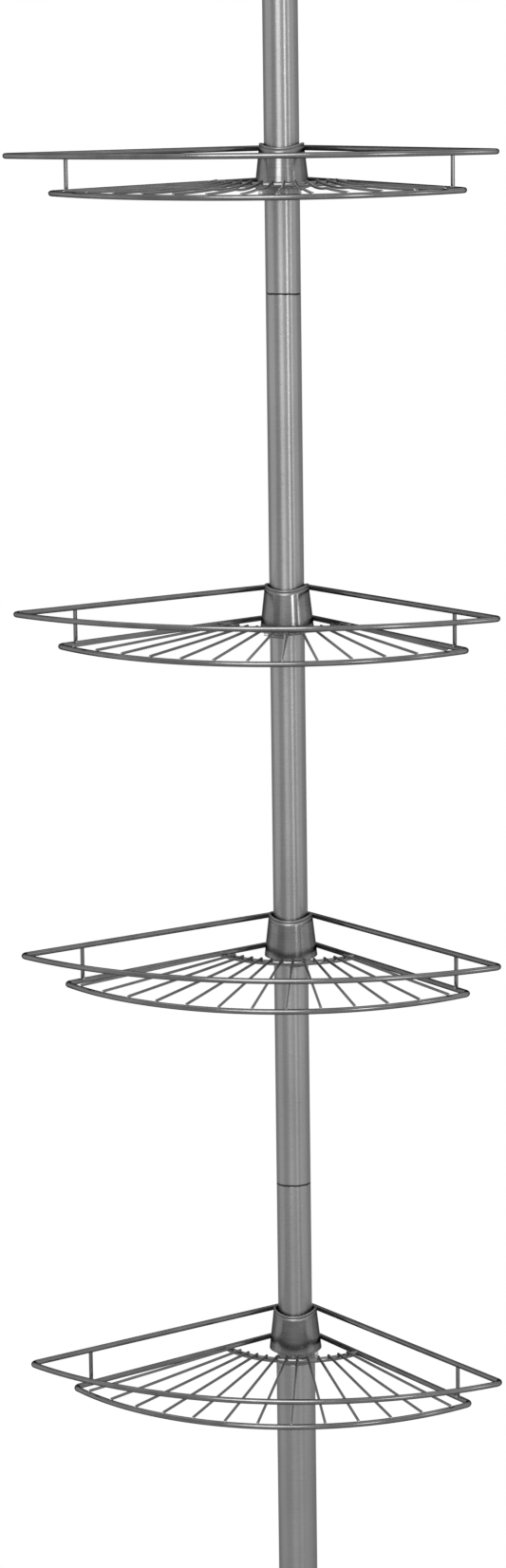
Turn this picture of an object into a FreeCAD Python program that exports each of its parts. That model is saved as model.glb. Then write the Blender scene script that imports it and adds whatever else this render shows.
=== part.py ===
import FreeCAD, Part
import math
import os

# Tension pole shelf unit: a sprung pole that stands between floor and ceiling and
# carries four quarter-round wire baskets, each held by a tapered collar on a split
# wedge sleeve.
#
# Millimetres. +Z is up, -Y is the front of the baskets. The origin is the centre of
# the underside of the floor pad, and the pole's axis is the Z axis.

Vector = FreeCAD.Vector
ORIGIN = Vector(0, 0, 0)
UP = Vector(0, 0, 1)
MIRROR_X = Vector(1, 0, 0)

# ---------------------------------------------------------------- driving dimensions

# Pole tubes
UPPER_TUBE_OD = 22.2            # 7/8 inch tube
UPPER_TUBE_WALL = 0.7
LOWER_TUBE_WALL = 0.7
LOWER_TUBE_LENGTH = 600.0
SECTION_LENGTH = 576.0          # each of the three upper sections
SECTION_COUNT = 3
SECTION_STANDOUT = 121.0        # how far the first section stands out of the lower tube
TUBE_EDGE = 0.4                 # broken outer edge at every tube end

# Fits
PRESS_CLEARANCE = 0.05          # pieces pushed together for good, each side
RUNNING_CLEARANCE = 0.25        # plastic guides and wedges on the sliding tube, each side
CONE_CLEARANCE = 0.3            # collar on its wedge
WELD_GAP = 0.05                 # wire laid on wire or collar at a weld
FLOOR_RING_GAP = 0.15           # sloping floor wire round the tapered collar

# Floor and ceiling ends
PAD_THICKNESS = 3.0
PAD_RECESS = 1.5                # how deep a pad sits in its cup
FLOOR_PAD_RADIUS = 27.0
CEILING_PAD_RADIUS = 24.0
CUP_RIM = 2.0                   # wall of the cup round the pad
CUP_FLANGE = 3.5                # height of the cup's flange at its edge
CUP_SHOULDER = 3.6              # foot of the socket above the web
CUP_WEB = 5.0                   # between pad and tube end
CUP_SOCKET_DEPTH = 24.0
CUP_SOCKET_WALL = 2.6
CUP_EDGE = 1.2                  # broken edges of the cups and pads

# Spring drive inside the lower tube
SEAT_HEIGHT = 12.0
SPIGOT_RADIUS = 7.0
SPIGOT_HEIGHT = 10.0
GUIDE_FLANGE = 6.0
GUIDE_PLUG_LENGTH = 18.0
SPRING_WIRE = 2.2
SPRING_OUTER_RADIUS = 10.0
SPRING_TURNS = 11.0
BUSHING_WALL = 0.6
BUSHING_LENGTH = 20.0
BUSHING_LIP = 2.5

# Inner couplers between the upper sections
COUPLER_LENGTH = 60.0
COUPLER_WALL = 1.8

# Wedge sleeves
WEDGE_BELOW_COLLAR = 5.5
WEDGE_BELOW_RIM = 2.5
WEDGE_SKIRT_WALL = 0.85
WEDGE_SPLIT_ANGLE = 5.0         # open gap between the two halves, in degrees
WEDGE_STEP = 1.8                # the plain half ends higher than the tabbed half
TAB_REACH = 14.7                # outer radius of the finger tab
TAB_WIDTH = 6.0
TAB_HEIGHT = 4.6
WEDGE_SEAT_GAP = 0.3            # lowest wedge above the mouth bushing

# Collars
COLLAR_WALL = 1.4
COLLAR_TAPER = 3.05             # growth of the radius from rim to lower edge
COLLAR_RIM_GAP = 1.6            # wall's inner face to tube at the rim
COLLAR_ABOVE_RAIL = 0.5
COLLAR_BELOW_FLOOR = 4.3
LIP_RADIUS = 0.95               # rolled lip

# Baskets
FRAME_WIRE = 3.5
POST_WIRE = 2.5
SPOKE_WIRE = 1.8
SIDE_ANGLE = 45.0               # each side wire from the front-to-back line
RAIL_REACH = 179.7              # pole axis to the middle of the rail's front wire
RAIL_ARC_CENTRE = 56.5          # centre of the rail's front arc behind the axis
RAIL_CORNER = 4.0
FLOOR_INSET = 24.6              # floor's front wire behind the rail's
FLOOR_ARC_CENTRE = 20.7         # centre of the floor's arcs and fan behind the axis
FLOOR_CORNER = 4.0
FLOOR_DROP = 20.2               # rail plane to floor plane, at the axis
FLOOR_SLOPE = 1.72              # floor falls towards the front, in degrees
INNER_ARC_REACH = 37.2          # pole axis to the inner arc's middle
SPOKE_COUNT = 13
SPOKE_EDGE_ANGLE = 3.9          # outermost spokes inside the side wires, in degrees
SPOKE_OVERHANG = 1.2            # spoke past the middle of the inner arc
SPOKE_SETBACK = 0.6             # spoke's end behind the middle of the front wire
POST_SETBACK = 8.0              # post behind the end of the floor's straight side
POST_TRIM = 0.9                 # post ends short of the frame wires' middles

# Basket rails above the lowest basket's rail, from the top basket down
RAIL_STEPS = [754.0, 477.5, 264.0, 0.0]
# Side of the pole on which each wedge's finger tab lies: 0 is left, 180 is right
TAB_TURNS = [0.0, 0.0, 180.0, 180.0]

# ---------------------------------------------------------------- sizes that follow

upper_r = UPPER_TUBE_OD / 2
upper_bore_r = upper_r - UPPER_TUBE_WALL
upper_fit_r = upper_bore_r - PRESS_CLEARANCE        # what is pushed into an upper section
running_bore_r = upper_r + RUNNING_CLEARANCE        # what an upper section slides through
bushing_r = running_bore_r + BUSHING_WALL
lower_bore_r = bushing_r + PRESS_CLEARANCE
lower_r = lower_bore_r + LOWER_TUBE_WALL

lower_base_z = PAD_THICKNESS + CUP_WEB
lower_mouth_z = lower_base_z + LOWER_TUBE_LENGTH
first_joint_z = lower_mouth_z + SECTION_STANDOUT
section_base_z = first_joint_z - SECTION_LENGTH
pole_top_z = section_base_z + SECTION_COUNT * SECTION_LENGTH
total_height = pole_top_z + CUP_WEB + PAD_THICKNESS

seat_top_z = lower_base_z + SEAT_HEIGHT
guide_base_z = section_base_z - GUIDE_FLANGE
guide_flange_r = lower_bore_r - RUNNING_CLEARANCE

frame_r = FRAME_WIRE / 2
weld_r = frame_r + WELD_GAP
post_r = POST_WIRE / 2
spoke_r = SPOKE_WIRE / 2

# Heights within a basket are counted from its rail plane.
collar_top = COLLAR_ABOVE_RAIL
collar_bottom = -FLOOR_DROP - COLLAR_BELOW_FLOOR
collar_height = collar_top - collar_bottom
collar_rim_bore_r = upper_r + COLLAR_RIM_GAP
wedge_bottom = collar_bottom - WEDGE_BELOW_COLLAR
wedge_top = collar_top - WEDGE_BELOW_RIM
lip_z = collar_top - LIP_RADIUS
lip_mid_r = collar_rim_bore_r + COLLAR_WALL / 2

lowest_rail_z = lower_mouth_z + BUSHING_LIP + WEDGE_SEAT_GAP - wedge_bottom


def collar_bore_radius(z):
    """Radius of the collar's tapered inner face at a height from the rail plane."""
    return collar_rim_bore_r + COLLAR_TAPER * (collar_top - z) / collar_height


def collar_radius(z):
    """Radius of the collar's tapered outer face at a height from the rail plane."""
    return collar_bore_radius(z) + COLLAR_WALL


rail_offset = lip_mid_r + LIP_RADIUS + weld_r
floor_offset = collar_radius(-FLOOR_DROP) + frame_r + FLOOR_RING_GAP
floor_reach = RAIL_REACH - FLOOR_INSET

# ---------------------------------------------------------------- helpers


def revolved(points, angle=360.0, start=0.0):
    """Turn a closed outline, given as (radius, height) corners, about the Z axis."""
    corners = [Vector(r, 0, z) for r, z in points]
    face = Part.Face(Part.makePolygon(corners + [corners[0]]))
    solid = face.revolve(ORIGIN, UP, angle)
    solid.rotate(ORIGIN, UP, start)
    return solid


def tube(outer_r, bore_r, base, top):
    """A tube with its outer edges broken at both ends."""
    return revolved([
        (bore_r, base),
        (outer_r - TUBE_EDGE, base),
        (outer_r, base + TUBE_EDGE),
        (outer_r, top - TUBE_EDGE),
        (outer_r - TUBE_EDGE, top),
        (bore_r, top),
    ])


def swept(path, radius, start, direction):
    """A round wire along a path that begins at start in the given direction."""
    ring = Part.Wire(Part.makeCircle(radius, start, direction))
    return Part.Wire(path).makePipeShell([ring], True, False)


def export(shape, node):
    """Write one sub-part."""
    shape.exportStep("parts/" + node + ".step")


# ---------------------------------------------------------------- pole


def end_cup(pad_r, tube_r):
    """Plastic cup with a recess for a pad below and a socket for a tube above.

    The cup's rim is at height zero, and the pad stands out below it.
    """
    web_top = PAD_RECESS + CUP_WEB
    rim_r = pad_r + CUP_RIM
    socket_bore_r = tube_r + PRESS_CLEARANCE
    socket_r = socket_bore_r + CUP_SOCKET_WALL
    socket_top = web_top + CUP_SOCKET_DEPTH
    return revolved([
        (0, PAD_RECESS),
        (pad_r + PRESS_CLEARANCE, PAD_RECESS),
        (pad_r + PRESS_CLEARANCE, 0),
        (rim_r - CUP_EDGE, 0),
        (rim_r, CUP_EDGE),
        (rim_r, CUP_FLANGE - CUP_EDGE),
        (rim_r - CUP_EDGE, CUP_FLANGE),
        (socket_r + CUP_SHOULDER, web_top),
        (socket_r, web_top + CUP_SHOULDER),
        (socket_r, socket_top - CUP_EDGE),
        (socket_r - CUP_EDGE, socket_top),
        (socket_bore_r, socket_top),
        (socket_bore_r, web_top),
        (0, web_top),
    ])


def pad(radius):
    """Rubber pad, standing on its outer face."""
    return revolved([
        (0, 0),
        (radius - CUP_EDGE, 0),
        (radius, CUP_EDGE),
        (radius, PAD_THICKNESS),
        (0, PAD_THICKNESS),
    ])


def spring():
    """Compression spring between the seat and the sliding guide."""
    mean_r = SPRING_OUTER_RADIUS - SPRING_WIRE / 2
    base = seat_top_z + SPRING_WIRE / 2
    rise = guide_base_z - SPRING_WIRE / 2 - base
    helix = Part.makeHelix(rise / SPRING_TURNS, rise, mean_r)
    ring = Part.Wire(Part.makeCircle(SPRING_WIRE / 2, Vector(mean_r, 0, 0), Vector(0, 1, 0)))
    coil = Part.Wire(helix).makePipeShell([ring], True, True)
    coil.translate(Vector(0, 0, base))
    return coil


def make_pole():
    """The floor end, the telescoping tubes, the spring drive and the ceiling end."""
    export(pad(FLOOR_PAD_RADIUS), "floor_pad")
    foot_cup = end_cup(FLOOR_PAD_RADIUS, lower_r)
    foot_cup.translate(Vector(0, 0, PAD_THICKNESS - PAD_RECESS))
    export(foot_cup, "foot_cup")
    export(tube(lower_r, lower_bore_r, lower_base_z, lower_mouth_z), "lower_tube")

    seat = revolved([
        (0, lower_base_z),
        (lower_bore_r - PRESS_CLEARANCE, lower_base_z),
        (lower_bore_r - PRESS_CLEARANCE, seat_top_z),
        (SPIGOT_RADIUS, seat_top_z),
        (SPIGOT_RADIUS, seat_top_z + SPIGOT_HEIGHT),
        (0, seat_top_z + SPIGOT_HEIGHT),
    ])
    export(seat, "spring_seat")
    export(spring(), "tension_spring")

    guide = revolved([
        (0, guide_base_z - SPIGOT_HEIGHT),
        (SPIGOT_RADIUS, guide_base_z - SPIGOT_HEIGHT),
        (SPIGOT_RADIUS, guide_base_z),
        (guide_flange_r, guide_base_z),
        (guide_flange_r, section_base_z),
        (upper_fit_r, section_base_z),
        (upper_fit_r, section_base_z + GUIDE_PLUG_LENGTH),
        (0, section_base_z + GUIDE_PLUG_LENGTH),
    ])
    export(guide, "tube_guide")

    bushing = revolved([
        (running_bore_r, lower_mouth_z - BUSHING_LENGTH),
        (bushing_r, lower_mouth_z - BUSHING_LENGTH),
        (bushing_r, lower_mouth_z),
        (lower_r, lower_mouth_z),
        (lower_r, lower_mouth_z + BUSHING_LIP - TUBE_EDGE),
        (lower_r - TUBE_EDGE, lower_mouth_z + BUSHING_LIP),
        (running_bore_r, lower_mouth_z + BUSHING_LIP),
    ])
    export(bushing, "mouth_bushing")

    coupler_bore_r = upper_fit_r - COUPLER_WALL
    coupler_half = COUPLER_LENGTH / 2
    for number in range(1, SECTION_COUNT + 1):
        base = section_base_z + (number - 1) * SECTION_LENGTH
        top = base + SECTION_LENGTH
        export(tube(upper_r, upper_bore_r, base, top), "upper_tube_%d" % number)
        if number < SECTION_COUNT:
            coupler = tube(upper_fit_r, coupler_bore_r, top - coupler_half, top + coupler_half)
            export(coupler, "coupler_%d" % number)

    top_cup = end_cup(CEILING_PAD_RADIUS, upper_r)
    top_cup.rotate(ORIGIN, MIRROR_X, 180)
    top_cup.translate(Vector(0, 0, total_height - PAD_THICKNESS + PAD_RECESS))
    export(top_cup, "top_cup")
    ceiling_pad = pad(CEILING_PAD_RADIUS)
    ceiling_pad.rotate(ORIGIN, MIRROR_X, 180)
    ceiling_pad.translate(Vector(0, 0, total_height))
    export(ceiling_pad, "ceiling_pad")


# ---------------------------------------------------------------- collar and wedge


def collar():
    """Tapered sheet collar with a rolled lip, wider at its lower edge."""
    wall = revolved([
        (collar_bore_radius(collar_bottom), collar_bottom),
        (collar_radius(collar_bottom), collar_bottom),
        (collar_radius(lip_z), lip_z),
        (collar_bore_radius(lip_z), lip_z),
    ])
    lip = Part.makeTorus(lip_mid_r, LIP_RADIUS, Vector(0, 0, lip_z), UP)
    return wall.fuse(lip).removeSplitter()


def wedge_half(bottom, start):
    """One half of the split sleeve that the collar wedges onto."""
    skirt_r = running_bore_r + WEDGE_SKIRT_WALL
    return revolved(
        [
            (running_bore_r, bottom),
            (skirt_r, bottom),
            (skirt_r, collar_bottom),
            (collar_bore_radius(collar_bottom) - CONE_CLEARANCE, collar_bottom),
            (collar_bore_radius(wedge_top) - CONE_CLEARANCE, wedge_top),
            (running_bore_r, wedge_top),
        ],
        angle=180.0 - WEDGE_SPLIT_ANGLE,
        start=start + WEDGE_SPLIT_ANGLE / 2,
    )


def wedge_pair(turn):
    """The half with the finger tab, and the plain half that ends a little higher."""
    skirt_mid_r = running_bore_r + WEDGE_SKIRT_WALL / 2
    tab = Part.makeBox(
        TAB_REACH - skirt_mid_r,
        TAB_WIDTH,
        TAB_HEIGHT,
        Vector(-TAB_REACH, -TAB_WIDTH / 2, wedge_bottom),
    )
    tabbed = wedge_half(wedge_bottom, 90).fuse(tab).removeSplitter()
    plain = wedge_half(wedge_bottom + WEDGE_STEP, 270)
    for half in (tabbed, plain):
        half.rotate(ORIGIN, UP, turn)
    return tabbed, plain


# ---------------------------------------------------------------- basket


class FrameLoop:
    """Plan of one closed frame wire, in the plane z = 0.

    The wire hugs the back of the collar, leaves it on both sides along straight
    tangents, turns a rounded corner and closes in one arc across the front.
    """

    def __init__(self, offset, reach, arc_centre, corner):
        side = math.radians(SIDE_ANGLE)
        self.offset = offset
        self.reach = reach
        self.centre = Vector(0, arc_centre, 0)
        self.arc_r = reach + arc_centre
        self.along = Vector(-math.sin(side), -math.cos(side), 0)
        self.outward = Vector(-math.cos(side), math.sin(side), 0)
        self.tangent = self.outward * offset
        corner_line = self.outward * (offset - corner) - self.centre
        half_b = corner_line.dot(self.along)
        gap = corner_line.dot(corner_line) - (self.arc_r - corner) ** 2
        run = -half_b + math.sqrt(half_b ** 2 - gap)
        self.corner_centre = self.outward * (offset - corner) + self.along * run
        self.corner_start = self.corner_centre + self.outward * corner
        to_corner = (self.corner_centre - self.centre).normalize()
        self.corner_end = self.centre + to_corner * self.arc_r
        bisector = (self.outward + to_corner).normalize()
        self.corner_mid = self.corner_centre + bisector * corner

    def side_point(self, run):
        """Point on the left side wire, a distance along it from the collar."""
        return self.tangent + self.along * run

    def side_length(self):
        """Straight length of the side wire, from the collar to the rounded corner."""
        return (self.corner_start - self.tangent).Length

    def meeting_run(self, radius):
        """Run along the left side wire where a circle about the arc's centre meets it."""
        to_line = self.tangent - self.centre
        half_b = to_line.dot(self.along)
        return -half_b + math.sqrt(half_b ** 2 - to_line.dot(to_line) + radius ** 2)

    def solid(self, radius):
        """The closed wire, made as a left half and its mirror image."""
        back = Vector(0, self.offset, 0)
        back_mid = (back + self.tangent).normalize() * self.offset
        front = Vector(0, -self.reach, 0)
        front_mid_dir = (self.corner_end - self.centre) + (front - self.centre)
        front_mid = self.centre + front_mid_dir.normalize() * self.arc_r
        path = [
            Part.Arc(back, back_mid, self.tangent).toShape(),
            Part.LineSegment(self.tangent, self.corner_start).toShape(),
            Part.Arc(self.corner_start, self.corner_mid, self.corner_end).toShape(),
            Part.Arc(self.corner_end, front_mid, front).toShape(),
        ]
        left = swept(path, radius, back, Vector(-1, 0, 0))
        right = left.mirror(ORIGIN, MIRROR_X)
        return left.fuse(right).removeSplitter()


def sloped(shape):
    """Carry a floor piece from its flat plan to the sloping floor plane."""
    shape.rotate(ORIGIN, MIRROR_X, FLOOR_SLOPE)
    shape.translate(Vector(0, 0, -FLOOR_DROP))
    return shape


def inner_arc(floor_loop):
    """Wire across the throat of the floor, coped at both ends to the side wires."""
    radius = INNER_ARC_REACH + FLOOR_ARC_CENTRE
    start = floor_loop.side_point(floor_loop.meeting_run(radius))
    middle = floor_loop.centre + Vector(0, -radius, 0)
    finish = Vector(-start.x, start.y, 0)
    spoke = start - floor_loop.centre
    heading = Vector(-spoke.y, spoke.x, 0)
    arc = swept([Part.Arc(start, middle, finish).toShape()], frame_r, start, heading)
    return arc.cut(floor_loop.solid(weld_r))


def spokes(floor_loop):
    """Fan of thin straight wires that lie on the inner arc and on the front wire."""
    lift = frame_r + spoke_r + WELD_GAP
    inner_end = INNER_ARC_REACH + FLOOR_ARC_CENTRE - SPOKE_OVERHANG
    outer_end = floor_loop.arc_r - SPOKE_SETBACK
    start = Vector(0, -inner_end, lift)
    first = Part.makeCylinder(spoke_r, outer_end - inner_end, start, Vector(0, -1, 0))

    widest = SIDE_ANGLE - SPOKE_EDGE_ANGLE
    fan = []
    for index in range(SPOKE_COUNT):
        angle = -widest + 2 * widest * index / (SPOKE_COUNT - 1)
        spoke = first.copy()
        spoke.rotate(ORIGIN, UP, angle)
        spoke.translate(floor_loop.centre)
        fan.append(spoke)
    return Part.makeCompound(fan)


def posts(rail_loop, floor_loop):
    """Two short uprights, coped to the side wires of the rail and of the floor."""
    run = floor_loop.side_length() - POST_SETBACK
    on_floor = floor_loop.side_point(run)
    on_rail = rail_loop.side_point(run)
    foot = (on_floor + on_rail) * 0.5
    slope = math.tan(math.radians(FLOOR_SLOPE))
    low = -FLOOR_DROP + foot.y * slope + POST_TRIM
    high = -POST_TRIM
    upright = Part.makeCylinder(post_r, high - low, Vector(foot.x, foot.y, low))
    left = upright.cut(rail_loop.solid(weld_r)).cut(sloped(floor_loop.solid(weld_r)))
    right = left.mirror(ORIGIN, MIRROR_X)
    return Part.makeCompound([left, right])


def make_baskets():
    """Four baskets, each with its collar and the wedge sleeve under the collar."""
    rail_loop = FrameLoop(rail_offset, RAIL_REACH, RAIL_ARC_CENTRE, RAIL_CORNER)
    floor_loop = FrameLoop(floor_offset, floor_reach, FLOOR_ARC_CENTRE, FLOOR_CORNER)
    basket = {
        "collar": collar(),
        "rail": rail_loop.solid(frame_r),
        "floor_frame": sloped(floor_loop.solid(frame_r)),
        "inner_arc": sloped(inner_arc(floor_loop)),
        "spokes": sloped(spokes(floor_loop)),
        "posts": posts(rail_loop, floor_loop),
    }
    for number, (step, turn) in enumerate(zip(RAIL_STEPS, TAB_TURNS), start=1):
        place = Vector(0, 0, lowest_rail_z + step)
        for name, shape in basket.items():
            piece = shape.copy()
            piece.translate(place)
            export(piece, "basket_%d_%s" % (number, name))
        for name, half in zip(("tabbed", "plain"), wedge_pair(turn)):
            half.translate(place)
            export(half, "wedge_%d_%s" % (number, name))


os.makedirs("parts", exist_ok=True)
make_pole()
make_baskets()
print("total height %.1f, lowest rail at %.1f" % (total_height, lowest_rail_z))
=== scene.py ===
# %% [markdown]
# # A tension pole shelf unit
#
# The real thing is a sprung steel pole that stands between floor and ceiling. Four
# quarter-round wire baskets sit on it, each by a tapered collar on a split plastic sleeve.
# The construction model is loaded first and is never changed. It says where every piece
# is and how it moves, and this lesson gives the pieces their looks.

# %% Load the construction model
import math

import bmesh
import bpy
from mathutils import Matrix, Vector


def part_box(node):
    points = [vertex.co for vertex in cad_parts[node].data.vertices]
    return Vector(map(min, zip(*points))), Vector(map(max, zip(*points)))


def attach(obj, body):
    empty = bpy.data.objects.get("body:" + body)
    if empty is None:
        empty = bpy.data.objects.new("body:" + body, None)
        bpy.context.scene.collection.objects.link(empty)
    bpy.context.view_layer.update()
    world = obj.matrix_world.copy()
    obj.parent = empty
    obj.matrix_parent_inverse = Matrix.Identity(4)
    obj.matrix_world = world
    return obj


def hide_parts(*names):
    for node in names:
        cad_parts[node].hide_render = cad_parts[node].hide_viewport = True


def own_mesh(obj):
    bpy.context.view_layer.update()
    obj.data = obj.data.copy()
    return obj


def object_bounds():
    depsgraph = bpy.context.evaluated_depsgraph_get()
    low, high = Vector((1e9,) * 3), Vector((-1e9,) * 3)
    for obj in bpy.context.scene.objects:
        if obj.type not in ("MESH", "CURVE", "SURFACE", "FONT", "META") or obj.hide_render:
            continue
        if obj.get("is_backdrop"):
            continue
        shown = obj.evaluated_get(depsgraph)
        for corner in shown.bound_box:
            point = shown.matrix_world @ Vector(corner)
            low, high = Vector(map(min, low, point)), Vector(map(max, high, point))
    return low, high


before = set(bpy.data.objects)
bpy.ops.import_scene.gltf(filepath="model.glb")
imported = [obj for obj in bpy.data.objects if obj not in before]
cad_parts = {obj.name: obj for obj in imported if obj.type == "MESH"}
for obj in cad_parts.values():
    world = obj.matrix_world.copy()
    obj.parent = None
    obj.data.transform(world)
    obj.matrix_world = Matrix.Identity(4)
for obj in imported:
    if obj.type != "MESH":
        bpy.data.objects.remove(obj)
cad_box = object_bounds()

print("the construction model stands %.3f m high" % (cad_box[1].z - cad_box[0].z))

# %% [markdown]
# ## Working by hand in code
#
# Blender's operators act on whatever is selected, as they do at the desk. So each step
# begins by deselecting everything, and picks its vertices, edges or faces by their place.
# Lengths are written in millimetres, as on a workshop drawing.

# %% Small helpers for selecting
MM = 0.001


def start_fresh():
    """Leave edit mode and deselect everything."""
    if bpy.context.mode != "OBJECT":
        bpy.ops.object.mode_set(mode="OBJECT")
    bpy.ops.object.select_all(action="DESELECT")


def take(piece):
    """Make one piece the only one in hand."""
    start_fresh()
    piece.select_set(True)
    bpy.context.view_layer.objects.active = piece


def edit(piece):
    """Open a piece in edit mode, picking by vertices, with all of it selected."""
    take(piece)
    bpy.ops.object.mode_set(mode="EDIT")
    bpy.ops.mesh.select_mode(type="VERT")
    bpy.ops.mesh.select_all(action="SELECT")


def pick(kind, test):
    """Select the vertices, edges or faces whose middle, in millimetres, passes a test."""
    bpy.ops.mesh.select_mode(type=kind)
    bpy.ops.mesh.select_all(action="DESELECT")
    mesh = bmesh.from_edit_mesh(bpy.context.object.data)
    for part in {"VERT": mesh.verts, "EDGE": mesh.edges, "FACE": mesh.faces}[kind]:
        corners = [part] if kind == "VERT" else part.verts
        middle = sum((corner.co for corner in corners), Vector()) / len(corners)
        part.select_set(test(middle / MM))
    mesh.select_flush_mode()
    bmesh.update_edit_mesh(bpy.context.object.data)


# %% [markdown]
# With no window open, two operators have a turn of their own: spin and rotate both go
# clockwise for a positive angle. The helpers below put that right, so that every angle in
# this lesson is counted counter-clockwise, as in a drawing.

# %% Turning, and the last strokes on a piece
def turn(degrees, axis, centre=(0, 0, 0)):
    """Turn what is selected about an axis through a centre given in millimetres."""
    bpy.ops.transform.rotate(
        value=-math.radians(degrees),
        orient_axis=axis,
        center_override=Vector(centre) * MM,
    )


def spin(degrees, steps, centre=(0, 0, 0), axis=(0, 0, 1)):
    """Sweep what is selected round a centre given in millimetres."""
    bpy.ops.mesh.spin(
        steps=steps, angle=-math.radians(degrees), center=Vector(centre) * MM, axis=axis
    )


def settle(piece, crease=40.0):
    """Merge doubles, turn every face outwards and smooth all but the hard edges."""
    edit(piece)
    bpy.ops.mesh.remove_doubles(threshold=1e-6)
    bpy.ops.mesh.normals_make_consistent(inside=False)
    take(piece)
    bpy.ops.object.shade_smooth_by_angle(angle=math.radians(crease))
    return piece


def modify(piece, kind, **settings):
    """Add a modifier, set it and apply it."""
    take(piece)
    bpy.ops.object.modifier_add(type=kind)
    modifier = piece.modifiers[-1]
    for name, value in settings.items():
        setattr(modifier, name, value)
    bpy.ops.object.modifier_apply(modifier=modifier.name)


# %% [markdown]
# ## Turned pieces
#
# Tubes, cups, pads, collars and sleeves are all round. Each starts as one point, which is
# extruded into the outline of its cross-section. The outline's corners are rounded while
# it is still flat, where a bevel can't go wrong, and then it is spun about the pole's axis.

# %% A lathe
def turned(name, corners, steps=96, sweep=360.0, start=0.0):
    """Spin an outline of (radius, height) or (radius, height, rounding) corners."""
    start_fresh()
    bpy.ops.mesh.primitive_plane_add(size=MM)
    piece = bpy.context.object
    piece.name = piece.data.name = name
    edit(piece)
    bpy.ops.mesh.merge(type="CENTER")
    places = [Vector((radius, 0, height)) * MM for radius, height, *_ in corners]
    bpy.ops.transform.translate(value=places[0])
    for last, place in zip(places, places[1:]):
        bpy.ops.mesh.extrude_vertices_move(TRANSFORM_OT_translate={"value": place - last})
    bpy.ops.mesh.select_all(action="SELECT")
    bpy.ops.mesh.edge_face_add()
    for radius, height, *rounding in corners:
        if rounding:
            corner = Vector((radius, 0, height))
            pick("VERT", lambda at: (at - corner).length < 0.01)
            bpy.ops.mesh.bevel(offset=rounding[0] * MM, segments=4, affect="VERTICES")
    if sweep == 360.0:
        bpy.ops.mesh.select_all(action="SELECT")
        bpy.ops.mesh.delete(type="ONLY_FACE")
        if min(place.x for place in places) < 1e-7:
            pick("EDGE", lambda at: at.x < 1e-4)
            bpy.ops.mesh.delete(type="EDGE")
    bpy.ops.mesh.select_all(action="SELECT")
    turn(start, "Z")
    spin(sweep, steps)
    return settle(piece)


# %% [markdown]
# ## Bent wires
#
# A basket is bent from drawn wire. A ring of vertices stands for the wire's section. It is
# extruded where the wire runs straight and spun about the centre of each bend, so a wire
# keeps its thickness all the way, which a curve with few points would not.

# %% A wire bender
def wire_start(name, place, heading, thickness, sides=16):
    """Lay the first ring of a wire, facing the way the wire sets off."""
    start_fresh()
    bpy.ops.mesh.primitive_circle_add(
        vertices=sides,
        radius=thickness / 2 * MM,
        location=Vector(place) * MM,
        rotation=Vector(heading).to_track_quat("Z", "Y").to_euler(),
    )
    wire = bpy.context.object
    wire.name = wire.data.name = name
    bpy.ops.object.transform_apply()
    edit(wire)
    return wire


def wire_run(move):
    """Run the wire straight on, by a vector in millimetres."""
    bpy.ops.mesh.extrude_region_move(TRANSFORM_OT_translate={"value": Vector(move) * MM})


def wire_cut(wire, thickness):
    """Close both cut ends of a wire and break their edges a little."""
    edit(wire)
    bpy.ops.mesh.fill_holes(sides=0)
    settle(wire)
    modify(
        wire,
        "BEVEL",
        width=thickness * 0.16 * MM,
        segments=3,
        limit_method="ANGLE",
        angle_limit=math.radians(60),
    )
    return settle(wire)


# %% [markdown]
# ## Shader maths
#
# A finish is a small calculation on the place of each point. It could be wired up node by
# node, but that is long to write and hard to read. The class below wraps one socket, so
# that `0.2 + grain * 0.1` adds its Math nodes by itself, with the reflected forms so that
# `1 - mask` works too. Any other node comes from one method, which makes the settings
# first and then gives the sockets their values or links.

# %% One socket that can be reckoned with
class Shade:
    """A socket of a material that takes part in sums."""

    def __init__(self, socket):
        self.socket = socket

    def node(self, kind, sockets, output=0, **settings):
        """Add a node of any kind, set it, and return one of its outputs."""
        node = self.socket.id_data.nodes.new(kind)
        for name, value in settings.items():
            setattr(node, name, value)
        for name, value in sockets.items():
            if isinstance(value, Shade):
                self.socket.id_data.links.new(value.socket, node.inputs[name])
            else:
                node.inputs[name].default_value = value
        return Shade(node.outputs[output])

    def maths(self, operation, first, second):
        return self.node("ShaderNodeMath", {0: first, 1: second}, operation=operation)

    def __add__(self, other):
        return self.maths("ADD", self, other)

    def __radd__(self, other):
        return self.maths("ADD", other, self)

    def __sub__(self, other):
        return self.maths("SUBTRACT", self, other)

    def __rsub__(self, other):
        return self.maths("SUBTRACT", other, self)

    def __mul__(self, other):
        return self.maths("MULTIPLY", self, other)

    def __rmul__(self, other):
        return self.maths("MULTIPLY", other, self)


# %% [markdown]
# Most finishes share three ingredients: noise that may be stretched, so that it draws
# lines along a tube or rings round a collar, a soft step between two levels, and a mix of
# two colours. Noise scales are given as the size of a feature in millimetres.

# %% Noise, steps and mixes
def grain(place, size, stretch=(1, 1, 1), detail=2.0):
    """Noise with features of about this size in millimetres, longer where stretched."""
    squeezed = place.node(
        "ShaderNodeMapping", {"Vector": place, "Scale": [1 / part for part in stretch]}
    )
    return place.node(
        "ShaderNodeTexNoise",
        {"Vector": squeezed, "Scale": 1 / (size * MM), "Detail": detail},
    )


def step(value, low, high):
    """A soft step from 0 at low to 1 at high."""
    return value.node(
        "ShaderNodeMapRange",
        {"Value": value, "From Min": low, "From Max": high},
        interpolation_type="SMOOTHSTEP",
    )


def blend(factor, first, second):
    """Mix two colours, each red, green and blue or a colour worked out before."""
    ends = [end if isinstance(end, Shade) else (*end, 1.0) for end in (first, second)]
    return factor.node(
        "ShaderNodeMix", {0: factor, 6: ends[0], 7: ends[1]}, output=2, data_type="RGBA"
    )


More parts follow.
